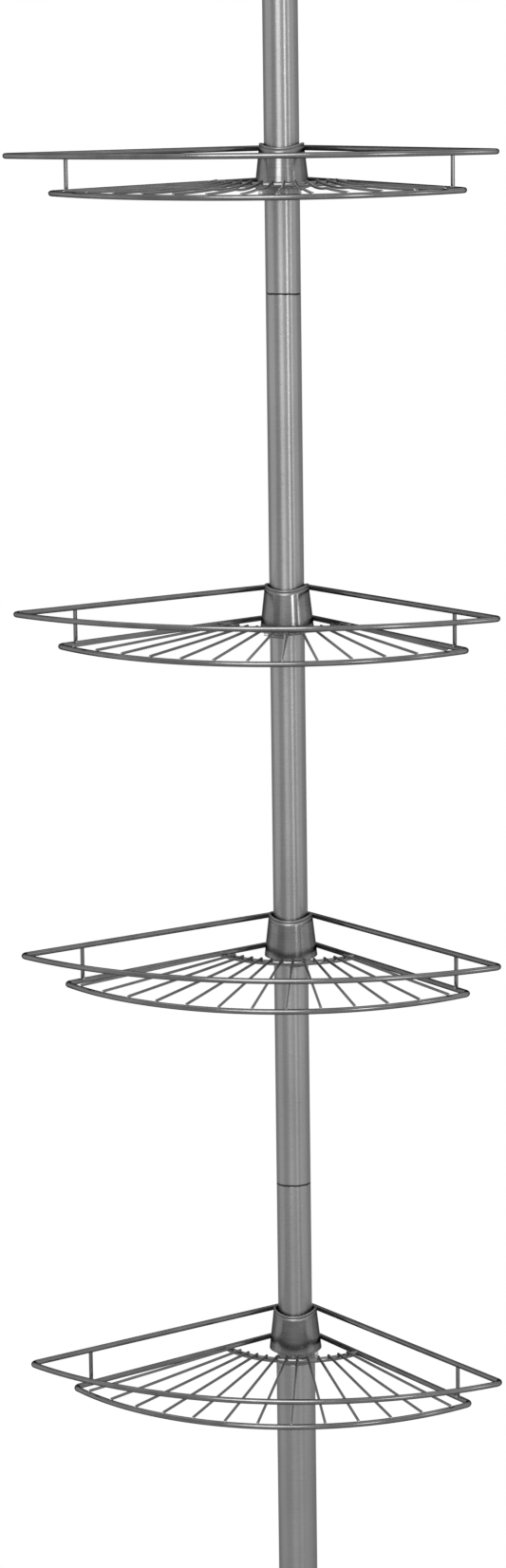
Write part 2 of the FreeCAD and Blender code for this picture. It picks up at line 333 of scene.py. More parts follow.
def grey(level):
    """The same amount of red, green and blue."""
    return (level, level, level)


# %% [markdown]
# Wear and dirt gather at certain places, so a finish has to know where a point is. Two
# measures are enough here: how far it is from the pole's axis, and whether its height lies
# in one of several bands, such as the seams of the pole.

# %% Places on the object
def off_axis(place):
    """Distance from the pole's axis, in metres."""
    flat = place.node(
        "ShaderNodeVectorMath", {0: place, 1: (1, 1, 0)}, operation="MULTIPLY"
    )
    return place.node("ShaderNodeVectorMath", {0: flat}, output=1, operation="LENGTH")


BAND_EDGE = 0.2


def banded(place, heights, low, high, wave=0.0):
    """1 from low to high, in millimetres, about each of several heights in metres."""
    height = place.node("ShaderNodeSeparateXYZ", {0: place}, output=2)
    bands = [
        step(rise, low - BAND_EDGE, low) - step(rise, high, high + BAND_EDGE)
        for rise in ((height - level) * (1 / MM) + wave for level in heights)
    ]
    return sum(bands[1:], bands[0])


# %% [markdown]
# A finish is then a short recipe. It takes the place of a point and gives what varies over
# the surface: colour, roughness, how metallic it is, and a height that a Bump node turns
# into fine relief. What is the same all over is set on the shader's own sockets.

# %% From a recipe to a material
def finish(name, recipe, relief=0.01, **plain):
    """Make a material. The recipe turns a place into varying sockets and a height."""
    material = bpy.data.materials.new(name)
    material.use_nodes = True
    nodes = material.node_tree.nodes
    shader = nodes["Principled BSDF"]
    place = Shade(nodes.new("ShaderNodeTexCoord").outputs["Object"])
    varying = recipe(place)
    varying["Normal"] = place.node(
        "ShaderNodeBump", {"Height": varying.pop("height"), "Distance": relief * MM}
    )
    for socket, value in {**plain, **varying}.items():
        entry = shader.inputs[socket.replace("_", " ")]
        if isinstance(value, Shade):
            material.node_tree.links.new(value.socket, entry)
        else:
            entry.default_value = value
    print("finish %s: %d nodes" % (name, len(nodes)))
    return material


# %% [markdown]
# ## The finish of the pole
#
# The pole is steel tube with a satin nickel look. It is ground between two wheels, which
# leaves fine scratches round it. They smear every reflection up and down, but leave it
# sharp from side to side, so a lamp shows as a long thin streak. That is an anisotropic
# gloss: a quarter turn of its direction makes it smear along the tube. The colour hardly
# varies, and most of the life is in the roughness. Where two sections meet, the shade in
# the gap is painted on as a dark, dull line: painted shade. It wavers a little, because a
# real gap would come out as a perfect ruled one.

# %% Satin tube
SEAMS = [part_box(node)[1].z for node in ("upper_tube_1", "upper_tube_2")]
QUARTER_TURN = 0.25


def tube_recipe(place):
    rings = grain(place, 0.4, (22, 22, 1), detail=3.0)
    clouds = grain(place, 28, (1, 1, 2.5))
    pits = step(grain(place, 1.3, detail=4.0), 0.66, 0.74)
    tone = rings * 0.4 + clouds * 0.6
    rub = step(grain(place, 9, (1, 1, 0.35)), 0.58, 0.72)
    # Painted shade: a dark, dull line in the gap where two tubes meet.
    seam_shade = banded(place, SEAMS, -0.42, 0.42, wave=grain(place, 7) * 2.4 - 1.2)
    steel = blend(step(tone - pits * 0.2, 0.3, 0.7), grey(0.190), grey(0.225))
    return {
        "Base Color": blend(seam_shade, steel, grey(0.012)),
        "Roughness": (
            0.24 + clouds * 0.07 + rings * 0.04 + pits * 0.08 - rub * 0.03 + seam_shade * 0.4
        ),
        "Metallic": 1.0 - pits * 0.1 - seam_shade * 0.6,
        "height": rings * 0.6 + pits * -0.5,
    }


satin_tube = finish(
    "satin_tube",
    tube_recipe,
    relief=0.0006,
    Specular_Tint=(*grey(0.5), 1),
    Anisotropic=0.9,
    Anisotropic_Rotation=QUARTER_TURN,
)

# %% [markdown]
# ## The finish of the collars
#
# A collar is spun from sheet, which leaves fine rings round it too. It is darker and more
# of a mirror than the pole, so the wires that meet it show in its flanks. The rings are
# noise that is squeezed in height and drawn out sideways. The plating is rubbed duller on
# the lip and its crease, which the mesh marks with an attribute of its own, and there it is
# also painted a little lighter: a painted highlight on the rolled edge. It is scuffed in a
# few small places. Just inside the rim the sheet is painted nearly black: painted shade in
# the gap round the pole.

# %% Spun sheet
def collar_recipe(place):
    rings = grain(place, 0.42, (26, 26, 1), detail=3.0)
    clouds = grain(place, 9)
    scuffs = step(grain(place, 1.6, (3, 3, 1), detail=4.0), 0.66, 0.76)
    lip = place.node("ShaderNodeAttribute", {}, output=2, attribute_name="lip")
    # Painted shade: just inside the rim the bore is nearly black, like the gap round the
    # pole.
    throat = (1 - step(off_axis(place), 13.1 * MM, 13.4 * MM)) * (1 - lip)
    tone = rings * 0.6 + clouds * 0.4
    sheet = blend(step(tone, 0.3, 0.7), grey(0.105), grey(0.140))
    # The lip's lighter colour is a painted highlight; its rougher finish is rubbed plating.
    outside = blend(lip * (0.6 + rings * 0.4), sheet, grey(0.16))
    return {
        "Base Color": blend(throat, outside, grey(0.02)),
        "Roughness": 0.14 + rings * 0.05 + scuffs * 0.08 + lip * 0.22,
        "Metallic": 1.0 - scuffs * 0.15,
        "height": rings + scuffs * -0.4,
    }


spun_sheet = finish(
    "spun_sheet",
    collar_recipe,
    relief=0.002,
    Specular_Tint=(*grey(0.3), 1),
    Anisotropic=0.45,
    Anisotropic_Rotation=QUARTER_TURN,
)

# %% [markdown]
# ## The finish of the wires
#
# The wire is drawn, bent, welded and then plated dark. Near the collar the plating is
# duller and darker. Fine specks and slow changes along a wire keep a long run from
# looking like a cable of plastic. The thin spokes are brighter at a glancing angle.

# %% Plated wire
def wire_recipe(place):
    specks = grain(place, 0.8, detail=4.0)
    patches = grain(place, 14)
    # Within a few centimetres of the pole's axis the wire is darker and duller.
    near_collar = 1 - step(off_axis(place), 0.019, 0.034)
    tone = specks * 0.4 + patches * 0.6 - near_collar * 0.15
    return {
        "Base Color": blend(step(tone, 0.3, 0.7), grey(0.105), grey(0.145)),
        "Roughness": 0.09 + patches * 0.06 + specks * 0.04 + near_collar * 0.06,
        "Metallic": 1.0 - near_collar * 0.1,
        "height": specks + patches * 0.5,
    }


plated_wire = finish(
    "plated_wire", wire_recipe, relief=0.008, Specular_Tint=(*grey(0.12), 1)
)
thin_wire = finish("thin_wire", wire_recipe, relief=0.006, Specular_Tint=(*grey(0.7), 1))


# %% [markdown]
# A weld bead is a drop of metal that froze in ripples. It is coloured far lighter than
# the wire, partly as a painted glint, so it catches small lights and gets a finish of its
# own rather than a patch on the wire's.

# %% Weld metal
def weld_recipe(place):
    ripples = grain(place, 0.35, detail=3.0)
    tint = grain(place, 2.5)
    return {
        # Partly painted glint: the bead is coloured far lighter than the wire around it.
        "Base Color": blend(step(tint, 0.35, 0.65), grey(0.30), grey(0.50)),
        "Roughness": 0.14 + ripples * 0.12,
        "Metallic": 1.0 - step(ripples, 0.6, 0.8) * 0.1,
        "height": ripples,
    }


weld_bead = finish("weld_bead", weld_recipe, relief=0.03)

# %% [markdown]
# ## The plastics and the rubber
#
# The sleeves are milky polypropylene, thin enough for the pole to show through. Light that
# scatters inside would be truer but slow and noisy, so they are a rough clear plastic with
# a pale tint, a little greyer in the wall than in the thick tab. The lower edges of both
# halves, which end at two heights, are painted dark: painted shade under the sleeve.

# %% Milky plastic
BASKETS = (1, 2, 3, 4)
RAIL_BOXES = [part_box("basket_%d_rail" % number) for number in BASKETS]
RAIL_HEIGHTS = [(low.z + high.z) / 2 for low, high in RAIL_BOXES]


def milky_recipe(place):
    flow = grain(place, 5, (1, 1, 2))
    skin = grain(place, 0.5, detail=3.0)
    dull = step(grain(place, 2.2, detail=3.0), 0.55, 0.7)
    tab = step(off_axis(place), 12.3 * MM, 12.8 * MM)
    wall = blend(step(flow, 0.3, 0.7), grey(0.38), grey(0.46))
    milk = blend(tab, wall, (0.72, 0.72, 0.71))
    # Painted shade: a dark band along the lower edge of each half, where it meets the pole.
    tabbed_edge_shade = banded(place, RAIL_HEIGHTS, -30.2, -29.5)
    plain_edge_shade = banded(place, RAIL_HEIGHTS, -28.4, -27.7)
    return {
        "Base Color": blend((tabbed_edge_shade + plain_edge_shade) * 0.8, milk, grey(0.10)),
        "Roughness": 0.16 + skin * 0.06 + dull * 0.08,
        "height": skin + flow * 0.3,
    }


milky_plastic = finish(
    "milky_plastic", milky_recipe, relief=0.006, Transmission_Weight=0.85, IOR=1.49
)


# %% [markdown]
# The cups at both ends are moulded in grey. Their mould was spark-eroded, which leaves a
# fine dull grain, and knocks have polished it in spots. The bushing and the guide are
# slippery dark acetal with turning lines. The pads are rubber with dust in the pores.

# %% Cups, bushing and pads
def cup_recipe(place):
    spark = grain(place, 0.45, detail=4.0)
    flow = grain(place, 12)
    knocks = step(grain(place, 2.4, detail=4.0), 0.64, 0.72)
    return {
        "Base Color": blend(step(flow - knocks * 0.3, 0.2, 0.7), grey(0.24), grey(0.31)),
        "Roughness": 0.42 + spark * 0.16 - knocks * 0.08,
        "height": spark + knocks * -0.5,
    }


def acetal_recipe(place):
    tool = grain(place, 0.6, (8, 8, 1), detail=3.0)
    smear = step(grain(place, 4, (1, 1, 3)), 0.5, 0.75)
    return {
        "Base Color": blend(smear, grey(0.085), grey(0.140)),
        "Roughness": 0.33 + tool * 0.10 + smear * 0.10,
        "height": tool,
    }


def rubber_recipe(place):
    pores = grain(place, 0.7, detail=5.0)
    dust = step(grain(place, 3.5, detail=4.0), 0.5, 0.72)
    return {
        "Base Color": blend(dust, grey(0.055), grey(0.105)),
        "Roughness": 0.68 + pores * 0.12 + dust * 0.10,
        "height": pores + dust * 0.3,
    }


moulded_cup = finish("moulded_cup", cup_recipe, relief=0.05)
acetal = finish("acetal", acetal_recipe, relief=0.01)
pad_rubber = finish("pad_rubber", rubber_recipe, relief=0.06)

# %% [markdown]
# The couplers and the spring are inside the pole. They are seen only when someone takes
# the model apart, and they still get their own steel: zinc with its cloudy crystals, and
# blued spring wire with drawing lines and a film of grease.

# %% Hidden steels
def zinc_recipe(place):
    flakes = grain(place, 3.0, (1, 1, 1.6), detail=1.0)
    lines = grain(place, 0.4, (1, 1, 60))
    colour = blend(step(flakes, 0.35, 0.65), (0.38, 0.39, 0.41), (0.50, 0.51, 0.52))
    return {
        "Base Color": colour,
        "Roughness": 0.26 + flakes * 0.16 + lines * 0.06,
        "Metallic": 1.0 - step(flakes, 0.7, 0.8) * 0.2,
        "height": flakes * 0.6 + lines * 0.4,
    }


def spring_recipe(place):
    film = step(grain(place, 6), 0.4, 0.7)
    lines = grain(place, 0.3, (5, 5, 1), detail=3.0)
    return {
        "Base Color": blend(film, (0.30, 0.30, 0.32), (0.18, 0.18, 0.19)),
        "Roughness": 0.24 + lines * 0.10 + film * 0.12,
        "Metallic": 1.0 - film * 0.15,
        "height": lines,
    }


zinc_steel = finish("zinc_steel", zinc_recipe, relief=0.01)
spring_wire = finish("spring_wire", spring_recipe, relief=0.01)


# %% [markdown]
# ## Handing a piece over
#
# Every finished piece gets its finish and the body it moves with, and the construction
# nodes that it replaces are hidden. What repeats is made once as a master and copied. Each
# copy is moved in edit mode and has a mesh of its own, so every object stays at the origin
# and its pattern can't slide.

# %% Hand a piece over
def hand_over(piece, body, slot, material, *nodes):
    """Give a piece its finish and its place in the moving model."""
    piece.data.materials.clear()
    piece.data.materials.append(material)
    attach(piece, body)
    if nodes:
        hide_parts(*nodes)
    start_fresh()


def copied(master, name, lift, half_turn=False):
    """Copy a finished master to its height, with a mesh of its own."""
    take(master)
    bpy.ops.object.duplicate(linked=False)
    twin = bpy.context.object
    twin.name = twin.data.name = name
    edit(twin)
    if half_turn:
        turn(180, "Z")
    bpy.ops.transform.translate(value=(0, 0, lift * MM))
    start_fresh()
    return twin


# %% [markdown]
# Four hidden pieces are plain turned shapes whose construction mesh is already right. They
# stay as they are, in a better finish.

# %% Pieces that keep their own mesh
for node, material in {
    "spring_seat": acetal,
    "tube_guide": acetal,
    "coupler_1": zinc_steel,
    "coupler_2": zinc_steel,
}.items():
    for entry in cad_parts[node].material_slots:
        entry.material = material
    print("%s keeps its mesh in %s" % (node, material.name))

# %% [markdown]
# ## The pole
#
# Four tubes make the pole: a wider one from the floor up and three thinner sections that
# are pushed end to end. A plain cylinder would do for the length, but a tube cutter rolls
# each end in a little, and where two rolled ends meet they leave a thin groove. So the
# tubes come off the lathe, wall and rolled ends and all.

# %% Four tubes
LOWER_RADIUS = 12.7
UPPER_RADIUS = 11.1
TUBE_WALL = 0.7
TUBE_ROLL = 0.55


def span_of(node):
    """Lowest and highest point of a construction node, in millimetres."""
    low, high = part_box(node)
    return low.z / MM, high.z / MM


def tube(node, radius, body):
    base, top = span_of(node)
    bore = radius - TUBE_WALL
    piece = turned(node + "_drawn", [
        (bore, base, 0.12),
        (radius, base, TUBE_ROLL),
        (radius, base + 1.2),
        (radius, top - 1.2),
        (radius, top, TUBE_ROLL),
        (bore, top, 0.12),
        (bore, top - 1.2),
        (bore, base + 1.2),
    ])
    hand_over(piece, body, "pole_metal", satin_tube, node)
    print("%s from %.1f to %.1f mm" % (node, base, top))


tube("lower_tube", LOWER_RADIUS, "lower_pole")
for number in (1, 2, 3):
    tube("upper_tube_%d" % number, UPPER_RADIUS, "upper_pole")

# %% [markdown]
# A plastic bushing lines the mouth of the wider tube, so that the thinner one slides in it
# without a rattle. Only its lip shows.

# %% Mouth bushing
mouth_base, mouth_top = span_of("mouth_bushing")
lip_base = mouth_top - 2.5
bushing = turned("mouth_bushing_ring", [
    (11.35, mouth_base, 0.2),
    (11.95, mouth_base, 0.2),
    (11.95, lip_base),
    (LOWER_RADIUS, lip_base, 0.2),
    (LOWER_RADIUS, mouth_top, 0.6),
    (11.35, mouth_top, 0.3),
])
hand_over(bushing, "lower_pole", "guide_plastic", acetal, "mouth_bushing")

# %% [markdown]
# The spring inside the wider tube pushes the upper pole against the ceiling. A bevelled
# curve would need a point every few degrees. Here one ring of vertices is wound up into
# eleven turns by a Screw modifier.

# %% Spring
SPRING_WIRE, SPRING_TURNS, SPRING_MIDDLE, SPRING_TRAVEL = 2.2, 11, 8.9, 40
spring_base, spring_top = span_of("tension_spring")
spring_length = spring_top - spring_base
spring = wire_start(
    "spring_wound",
    (SPRING_MIDDLE, 0, spring_base + SPRING_WIRE / 2),
    (0, 1, 0),
    SPRING_WIRE,
    sides=10,
)
modify(
    spring,
    "SCREW",
    angle=math.radians(360),
    screw_offset=(spring_length - SPRING_WIRE) / SPRING_TURNS * MM,
    iterations=SPRING_TURNS,
    steps=28,
)
wire_cut(spring, SPRING_WIRE)
hand_over(spring, "lower_pole", "spring_steel", spring_wire, "tension_spring")
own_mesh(spring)
print("spring %.1f mm long, with %d faces" % (spring_length, len(spring.data.polygons)))

# %% [markdown]
# ## Foot and ceiling ends
#
# Both ends are alike: a moulded cup holds the tube in a socket and a rubber pad in a
# recess. The pad is grooved in rings so that it grips. Eight small gussets stiffen the
# socket. One set of outlines serves both ends, and the upper one is turned over.

# %% Cup and pad outlines
def end_cup(name, pad_radius, tube_radius):
    """A cup with its rim at height 0, opening downwards over its pad."""
    rim = pad_radius + 2.0
    bore = tube_radius + 0.05
    socket = bore + 2.6
    return turned(name, [
        (0, 1.5),
        (pad_radius + 0.05, 1.5),
        (pad_radius + 0.05, 0),
        (rim, 0, 0.5),
        (rim, 3.5, 1.4),
        (socket + 2.6, 6.3, 2.0),
        (socket, 10.2, 1.5),
        (socket, 24.6),
        (socket - 0.5, 25.0),
        (socket - 0.5, 26.2),
        (socket, 26.6),
        (socket, 30.5, 1.2),
        (bore, 30.5, 0.5),
        (bore, 6.5),
        (0, 6.5),
    ])


def end_pad(name, radius):
    """A rubber pad with three grip grooves, standing on its outer face."""
    outline = [(0, 0)]
    for ring in (0.3, 0.55, 0.8):
        groove = radius * ring
        outline += [(groove - 1.1, 0, 0.2), (groove - 0.6, 0.7, 0.15)]
        outline += [(groove + 0.6, 0.7, 0.15), (groove + 1.1, 0, 0.2)]
    outline += [(radius, 0, 1.1), (radius, 3.0), (0, 3.0)]
    return turned(name, outline)


# %% [markdown]
# A gusset is a thin triangle between the socket and the rim. It starts as a block, which
# is bisected along its slant and rounded off. It can't be spun with the cup, and eight
# turned copies of one joined to the cup are simpler than eight insets in its side.

# %% Gussets round a socket
GUSSETS = 8


def gusset(name, inner, outer, low, high):
    """A thin triangular stiffener, cut from a block by a bisect and rounded off."""
    start_fresh()
    bpy.ops.mesh.primitive_cube_add(
        size=1, location=Vector(((inner + outer) / 2, 0, (low + high) / 2)) * MM
    )
    rib = bpy.context.object
    rib.name = rib.data.name = name
    edit(rib)
    bpy.ops.transform.resize(value=Vector((outer - inner, 1.4, high - low)) * MM)
    bpy.ops.mesh.bisect(
        plane_co=Vector(((inner + outer) / 2, 0, (low + high) / 2)) * MM,
        plane_no=Vector((high - low, 0, outer - inner)).normalized(),
        use_fill=True,
        clear_outer=True,
    )
    bpy.ops.object.mode_set(mode="OBJECT")
    bpy.ops.object.transform_apply()
    settle(rib)
    modify(rib, "BEVEL", width=0.25 * MM, segments=2, limit_method="ANGLE")
    return settle(rib)


def add_gussets(cup, inner, outer, low, high):
    """Copy one gusset to eight places round the cup and join them to it."""
    rib = gusset("gusset", inner, outer, low, high)
    edit(rib)
    for _ in range(GUSSETS - 1):
        bpy.ops.mesh.duplicate()
        turn(360 / GUSSETS, "Z")
    take(cup)
    rib.select_set(True)
    bpy.ops.object.join()


# %% Place both ends
PAD_PROUD = 1.5


def place_end(cup, pad, flip_height=None):
    """Stand a cup on its pad; the ceiling's pair is turned over at its height."""
    edit(cup)
    bpy.ops.transform.translate(value=(0, 0, PAD_PROUD * MM))
    for piece in (cup, pad):
        if flip_height is not None:
            edit(piece)
            turn(180, "X")
            bpy.ops.transform.translate(value=(0, 0, flip_height * MM))
        start_fresh()


foot_cup = end_cup("foot_cup_moulded", 27.0, LOWER_RADIUS)
add_gussets(foot_cup, 15.0, 24.5, 4.6, 14.5)
foot_pad = end_pad("floor_pad_ribbed", 27.0)
place_end(foot_cup, foot_pad)
hand_over(foot_cup, "lower_pole", "end_plastic", moulded_cup, "foot_cup")
hand_over(foot_pad, "lower_pole", "pad_rubber", pad_rubber, "floor_pad")

ceiling = span_of("ceiling_pad")[1]
top_cup = end_cup("top_cup_moulded", 24.0, UPPER_RADIUS)
add_gussets(top_cup, 13.4, 21.5, 4.6, 14.5)
top_pad = end_pad("ceiling_pad_ribbed", 24.0)
place_end(top_cup, top_pad, ceiling)
hand_over(top_cup, "upper_pole", "end_plastic", moulded_cup, "top_cup")
hand_over(top_pad, "upper_pole", "pad_rubber", pad_rubber, "ceiling_pad")
print("the ceiling pad ends at %.1f mm" % ceiling)

# %% [markdown]
# ## Where the baskets are
#
# All four baskets are alike, so each piece is made once with its rail in the plane of
# height 0 and then copied to its four heights.

# %% Rail heights
RAILS = [height / MM for height in RAIL_HEIGHTS]
print("rails at", ["%.1f" % height for height in RAILS])


def spread(master, slot, material, part):
    """Copy a basket's master piece to the four baskets and remove the master."""
    for number, height in zip(BASKETS, RAILS):
        name = "basket_%d_%s" % (number, part)
        nodes = [name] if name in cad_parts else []
        twin = copied(master, name + "_made", height)
        hand_over(twin, "basket_%d" % number, slot, material, *nodes)
    faces = len(master.data.polygons)
    take(master)
    bpy.ops.object.delete()
    print("%s: %d faces each" % (part, faces))


# %% [markdown]
# ## The collar
#
# The collar is a cone of sheet that is wider at its foot. Its upper edge is rolled outward
# into a thin lip, with a fine crease under the roll, and its lower edge is only rounded. A
# tapered cylinder with a Solidify modifier would give the cone but not the roll, so the
# whole section, wall and roll and all, is one outline on the lathe.

# %% Collar outline
COLLAR_TOP, COLLAR_FOOT, COLLAR_WALL = 2.1, -24.5, 1.4
LIP_MIDDLE, LIP_HEIGHT, LIP_ROLL = 13.35, 1.25, 0.85
BORE_AT_RAIL, BORE_TAPER = 12.76, 0.122


def collar_bore(height):
    """Inner radius of the cone at a height from the rail."""
    return BORE_AT_RAIL - BORE_TAPER * height


roll = [
    (
        LIP_MIDDLE + LIP_ROLL * math.cos(math.radians(angle)),
        LIP_HEIGHT + LIP_ROLL * math.sin(math.radians(angle)),
    )
    for angle in range(-50, 231, 20)
]
collar = turned("collar", [
    (collar_bore(COLLAR_FOOT + 1.5), COLLAR_FOOT + 1.5),
    (collar_bore(COLLAR_FOOT), COLLAR_FOOT, 0.3),
    (collar_bore(COLLAR_FOOT) + COLLAR_WALL, COLLAR_FOOT, 0.7),
    (collar_bore(COLLAR_FOOT + 1.5) + COLLAR_WALL, COLLAR_FOOT + 1.5),
    (collar_bore(-1.6) + COLLAR_WALL, -1.6),
    (collar_bore(-0.8) + COLLAR_WALL, -0.8),
    (collar_bore(-0.3) + COLLAR_WALL - 0.12, -0.3),
    (13.75, 0.15),
    *roll,
    (collar_bore(0), 0),
])

# %% [markdown]
# The finish wants to know where the lip is, also after the rim is bent below. A height band
# would miss the bent parts, so the lip's own vertices carry a mark.

# %% Mark the lip and its crease
LIP_FOOT, CREASE_FOOT, CREASE_INSIDE = 0.2, -0.9, 13.2

lip = collar.data.attributes.new("lip", "FLOAT", "POINT")
for vertex, mark in zip(collar.data.vertices, lip.data):
    height, radius = vertex.co.z / MM, vertex.co.xy.length / MM
    in_crease = height > CREASE_FOOT and radius > CREASE_INSIDE
    mark.value = 1.0 if height > LIP_FOOT or in_crease else 0.0

# %% [markdown]
# The rim isn't level. Its two flanks, where the rail is welded on, stand a little higher
# than its front and back. Each of the four is dragged up or down by one point of the lip,
# and proportional editing lets the neighbourhood follow softly.

# %% Drag the rim into a saddle
RIM_DRAGS = {0: 1.4, 90: -1.2, 180: 1.4, 270: -1.2}


def drag_rim(degrees, lift):
    """Lift or lower the lip at one angle, with its neighbourhood."""
    edit(collar)
    point = Vector((LIP_MIDDLE, 0, COLLAR_TOP))
    point.rotate(Matrix.Rotation(math.radians(degrees), 3, "Z"))
    pick("VERT", lambda at: (at - point).length < 0.5)
    bpy.ops.transform.translate(
        value=(0, 0, lift * MM),
        use_proportional_edit=True,
        proportional_edit_falloff="SMOOTH",
        proportional_size=18 * MM,
    )


for degrees, lift in RIM_DRAGS.items():
    drag_rim(degrees, lift)
settle(collar)
rim_top = max(corner[2] for corner in collar.bound_box) / MM
print("collar rim %.1f mm high at its flanks" % rim_top)
spread(collar, "collar_metal", spun_sheet, "collar")


# %% [markdown]
# ## The two frame wires
#
# The rail and the floor frame are one kind of loop. It hugs the back of the collar, leaves
# it on both sides along straight tangents, turns a tight corner and closes in one long arc
# across the front. Only the left half is bent; a Mirror modifier makes the other, as the
# real wire is alike on both sides.

# %% Plan of a loop
FRAME_WIRE = 3.5


class LoopPlan:
    """Measures of one frame loop, in the plane of height 0."""

    def __init__(self, offset, reach, arc_centre, corner=4.0):
        side = math.sqrt(0.5)
        self.offset = offset
        self.along = Vector((-side, -side, 0))
        self.outward = Vector((-side, side, 0))
        self.centre = Vector((0, arc_centre, 0))
        self.arc_radius = reach + arc_centre
        self.tangent = self.outward * offset
        # The corner's centre lies a corner's radius inside both the side and the front.
        reach_in = self.outward * (offset - corner) - self.centre
        slant = reach_in.dot(self.along)
        gap = reach_in.length_squared - (self.arc_radius - corner) ** 2
        self.side_length = -slant + math.sqrt(slant**2 - gap)
        run_out = self.along * self.side_length
        self.corner_centre = self.outward * (offset - corner) + run_out
        to_corner = self.corner_centre - self.centre
        self.corner_angle = math.degrees(math.atan2(to_corner.y, to_corner.x)) % 360

    def meeting(self, radius):
        """Where a circle about the arc's centre meets the left side wire."""
        to_line = self.tangent - self.centre
        slant = to_line.dot(self.along)
        run = -slant + math.sqrt(slant**2 - to_line.length_squared + radius**2)
        return self.tangent + self.along * run


rail_plan = LoopPlan(offset=16.15, reach=179.7, arc_centre=56.5)
floor_plan = LoopPlan(offset=18.5254, reach=155.1, arc_centre=20.7)


# %% [markdown]
# The plan gives every angle and length, so the wire can be bent in the order of a bench
# bender: round the collar, along the side, round the corner, along the front. The pieces
# of the floor are all bent flat, and one helper then slopes each down to the front.

# %% Bend the loops
def frame_loop(name, plan):
    """Bend half a loop from its back to its front, and mirror it."""
    wire = wire_start(name, (0, plan.offset, 0), (-1, 0, 0), FRAME_WIRE)
    spin(45, 10)
    wire_run(plan.along * plan.side_length)
    spin(plan.corner_angle - 135, 12, plan.corner_centre)
    spin(270 - plan.corner_angle, 30, plan.centre)
    modify(wire, "MIRROR", merge_threshold=1e-5)
    return settle(wire, crease=80)


FLOOR_DROP, FLOOR_SLOPE = 20.2, 1.72


def slope_floor(piece):
    """Tilt a flat floor piece down to the front and lower it under the rail."""
    edit(piece)
    turn(FLOOR_SLOPE, "X")
    bpy.ops.transform.translate(value=(0, 0, -FLOOR_DROP * MM))
    start_fresh()
    return piece


rail = frame_loop("rail", rail_plan)
print("rail is %.1f mm across" % (rail.dimensions.x / MM))
spread(rail, "wire_metal", plated_wire, "rail")
spread(
    slope_floor(frame_loop("floor_frame", floor_plan)),
    "wire_metal",
    plated_wire,
    "floor_frame",
)

# %% [markdown]
# ## The throat wire and the fan of spokes
#
# A shorter wire crosses the throat of the floor from side to side, on the same centre as
# the front wire. It starts where that circle meets the side wires' middle, so its cut ends
# are buried in them.

# %% Throat wire
THROAT = 57.9
meeting = floor_plan.meeting(THROAT)
spoke_line = meeting - floor_plan.centre
throat_angle = math.degrees(math.atan2(spoke_line.y, spoke_line.x)) % 360
throat = wire_start(
    "inner_arc", meeting, Vector((-spoke_line.y, spoke_line.x, 0)), FRAME_WIRE
)
spin(2 * (270 - throat_angle), 28, floor_plan.centre)
wire_cut(throat, FRAME_WIRE)
spread(slope_floor(throat), "wire_metal", thin_wire, "inner_arc")

# %% [markdown]
# Thirteen thin spokes run straight from the throat wire to the front wire. The welder has
# pressed them a little way into both, and their cut ends stick out. One spoke is cut, in
# short runs so that it can be bowed later, and then copied round in edit mode.

# %% One spoke, then thirteen
SPOKE_WIRE, SPOKE_LIFT = 1.8, 2.0
SPOKE_COUNT, SPOKE_RUNS, WIDEST = 13, 12, 41.1
SPOKE_IN = THROAT - 1.2
SPOKE_OUT = floor_plan.arc_radius - 0.6

spoke_start = floor_plan.centre + Vector((0, -SPOKE_IN, SPOKE_LIFT))
spoke = wire_start("spokes", spoke_start, (0, -1, 0), SPOKE_WIRE, sides=12)
for _ in range(SPOKE_RUNS):
    wire_run((0, (SPOKE_IN - SPOKE_OUT) / SPOKE_RUNS, 0))
wire_cut(spoke, SPOKE_WIRE)
edit(spoke)
turn(-WIDEST, "Z", floor_plan.centre)
for _ in range(SPOKE_COUNT - 1):
    bpy.ops.mesh.duplicate()
    turn(2 * WIDEST / (SPOKE_COUNT - 1), "Z", floor_plan.centre)
start_fresh()
spread(slope_floor(spoke), "wire_metal", thin_wire, "spokes")

# %% [markdown]
# The top basket has carried the heaviest bottles, and its spokes are bowed a little, most
# of all near the throat. A ring of points on all of them is dragged down, first at the
# middle and then nearer to the throat, and proportional editing bends the rest. Of its
# falloffs the inverse square is a plain parabola, as a loaded wire hangs.

# %% Bow the top basket's spokes
BOWS = ((0.5, 1.1), (0.25, 1.5))
top_fan = bpy.data.objects["basket_1_spokes_made"]
spoke_length = SPOKE_OUT - SPOKE_IN
for share, bow in BOWS:
    ring = SPOKE_IN + share * spoke_length
    edit(top_fan)
    pick("VERT", lambda at: abs((at.xy - floor_plan.centre.xy).length - ring) < 1.5)
    bpy.ops.transform.translate(
        value=(0, 0, -bow * MM),
        use_proportional_edit=True,
        proportional_edit_falloff="INVERSE_SQUARE",
        proportional_size=share * spoke_length * MM,
    )
    print("spokes bowed by %.1f mm, %.0f mm from the throat" % (bow, share * spoke_length))
start_fresh()

# %% [markdown]
# ## The posts
#
# Two short posts tie the floor to the rail near its corners. Each is a straight run
# between the two side wires, and ends inside them, as a weld leaves it. The floor slopes,
# so the post's foot is worked out from where it stands.

